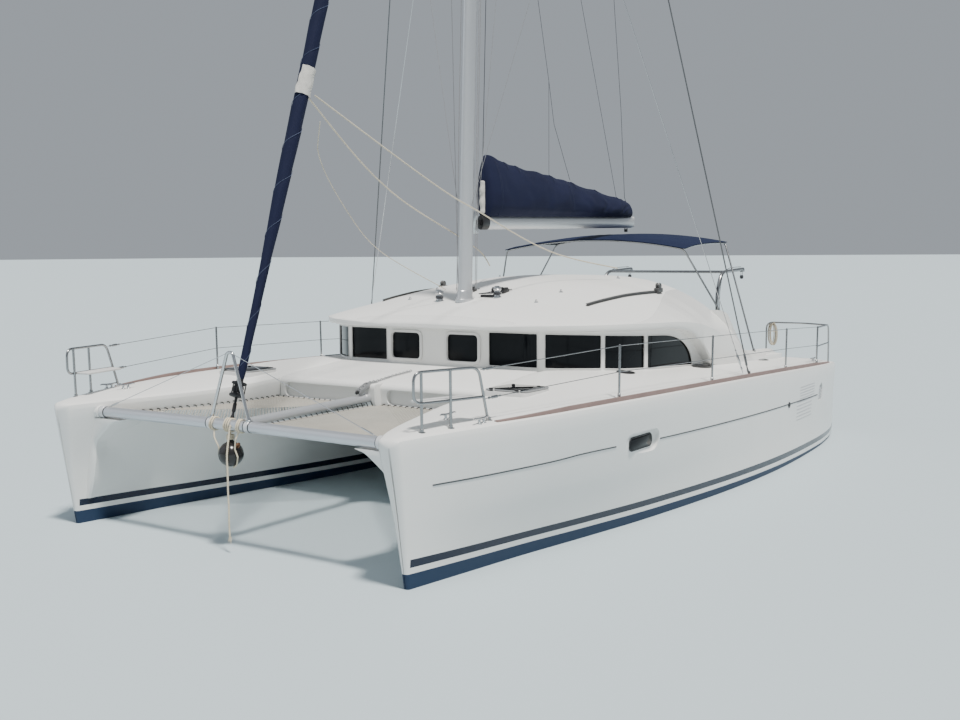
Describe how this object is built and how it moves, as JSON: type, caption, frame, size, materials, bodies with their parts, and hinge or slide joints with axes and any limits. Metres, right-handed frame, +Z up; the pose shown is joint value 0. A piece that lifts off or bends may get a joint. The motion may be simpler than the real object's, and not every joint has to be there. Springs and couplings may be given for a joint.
{
  "type": "sailing catamaran",
  "caption": "Cruising sailing catamaran: two hulls joined by a bridge deck with a saloon, a mast with furled sails, nets, rails and a stern cockpit.",
  "frame": {"origin": "on the waterline, amidships, on the centreline between the two hulls", "axes": "+X forward towards the bows, +Y to port, +Z up"},
  "size_m": [11.59, 6.47, 18.05],
  "materials": {
    "gelcoat": "glossy gelcoat",
    "antifoul": "matt bottom paint",
    "smoked_glass": "smoked acrylic",
    "alloy": "anodised",
    "steel": "polished stainless steel",
    "net_webbing": "woven webbing net",
    "navy_canvas": "acrylic canvas",
    "blue_canvas": "acrylic canvas",
    "black_plastic": "satin",
    "bronze": "cast and machined",
    "rope": "weathered rope",
    "white_plastic": "moulded"
  },
  "bodies": {
    "boat": {"hull_port": "gelcoat", "hull_starboard": "gelcoat", "bridge_deck": "gelcoat", "coachroof": "gelcoat", "cabin_wall": "gelcoat", "aft_bulkhead": "gelcoat", "helm_console": "gelcoat", "helm_seat": "gelcoat", "coaming_port": "gelcoat", "coaming_starboard": "gelcoat", "keel_port": "antifoul", "keel_starboard": "antifoul", "saildrive_port": "antifoul", "saildrive_starboard": "antifoul", "window_glazing": "smoked_glass", "crossbeam": "alloy", "centre_tube": "alloy", "mast": "alloy", "spreaders": "alloy", "gooseneck": "alloy", "striker": "steel", "shroud_port": "steel", "shroud_starboard": "steel", "pulpit_port": "steel", "pulpit_starboard": "steel", "guard_rail_port": "steel", "guard_rail_starboard": "steel", "davits": "steel", "bimini_frame": "steel", "ladder_bracket": "steel", "net_port": "net_webbing", "net_starboard": "net_webbing", "furled_genoa": "navy_canvas", "bimini_canopy": "blue_canvas", "furler_drum": "black_plastic", "bow_roller": "black_plastic", "fender_ball": "black_plastic", "rope_tail": "rope", "hatch_frame_port": "white_plastic", "hatch_frame_starboard": "white_plastic", "cockpit_table": "white_plastic"},
    "boom": {"boom": "alloy", "sail_bag": "navy_canvas"},
    "rudder_port": {"rudder_port": "antifoul"},
    "rudder_starboard": {"rudder_starboard": "antifoul"},
    "propeller_port": {"propeller_port": "bronze"},
    "propeller_starboard": {"propeller_starboard": "bronze"},
    "steering_wheel": {"steering_wheel": "steel"},
    "saloon_door": {"saloon_door": "smoked_glass"},
    "hatch_lid_port": {"hatch_lid_port": "smoked_glass"},
    "hatch_lid_starboard": {"hatch_lid_starboard": "smoked_glass"},
    "swim_ladder": {"swim_ladder": "steel"}
  },
  "joints": [
    {"name": "boom_swing", "type": "hinge", "parent": "boat", "child": "boom", "pos_m": [1, 0, 3.385], "axis": [0, 0, 1], "range_deg": [-55, 55]},
    {"name": "rudder_turn_port", "type": "hinge", "parent": "boat", "child": "rudder_port", "pos_m": [-4.95, 2.33, -0.25], "axis": [0, 0, 1], "range_deg": [-35, 35]},
    {"name": "rudder_turn_starboard", "type": "hinge", "parent": "boat", "child": "rudder_starboard", "pos_m": [-4.95, -2.33, -0.25], "axis": [0, 0, 1], "range_deg": [-35, 35]},
    {"name": "wheel_turn", "type": "hinge", "parent": "boat", "child": "steering_wheel", "pos_m": [-1.7, 1.11, 1.52], "axis": [1, 0, 0], "range_deg": [-420, 420]},
    {"name": "propeller_turn_port", "type": "hinge", "parent": "boat", "child": "propeller_port", "pos_m": [-3.78, 2.33, -0.76], "axis": [1, 0, 0], "continuous": true},
    {"name": "propeller_turn_starboard", "type": "hinge", "parent": "boat", "child": "propeller_starboard", "pos_m": [-3.78, -2.33, -0.76], "axis": [1, 0, 0], "continuous": true},
    {"name": "door_slide", "type": "slide", "parent": "boat", "child": "saloon_door", "axis": [0, -1, 0], "range_m": [0, 0.72]},
    {"name": "hatch_lift_port", "type": "hinge", "parent": "boat", "child": "hatch_lid_port", "pos_m": [3.45, 2.01, 1.558], "axis": [0, 1, 0], "range_deg": [0, 95]},
    {"name": "hatch_lift_starboard", "type": "hinge", "parent": "boat", "child": "hatch_lid_starboard", "pos_m": [3.45, -2.01, 1.558], "axis": [0, 1, 0], "range_deg": [0, 95]},
    {"name": "ladder_fold", "type": "hinge", "parent": "boat", "child": "swim_ladder", "pos_m": [-5.798, 2.33, 0.372], "axis": [0, -1, 0], "range_deg": [0, 255]}
  ],
  "couplings": [
    {"joint": "rudder_turn_starboard", "follows": "rudder_turn_port", "ratio": 1},
    {"joint": "wheel_turn", "follows": "rudder_turn_port", "ratio": 12}
  ]
}
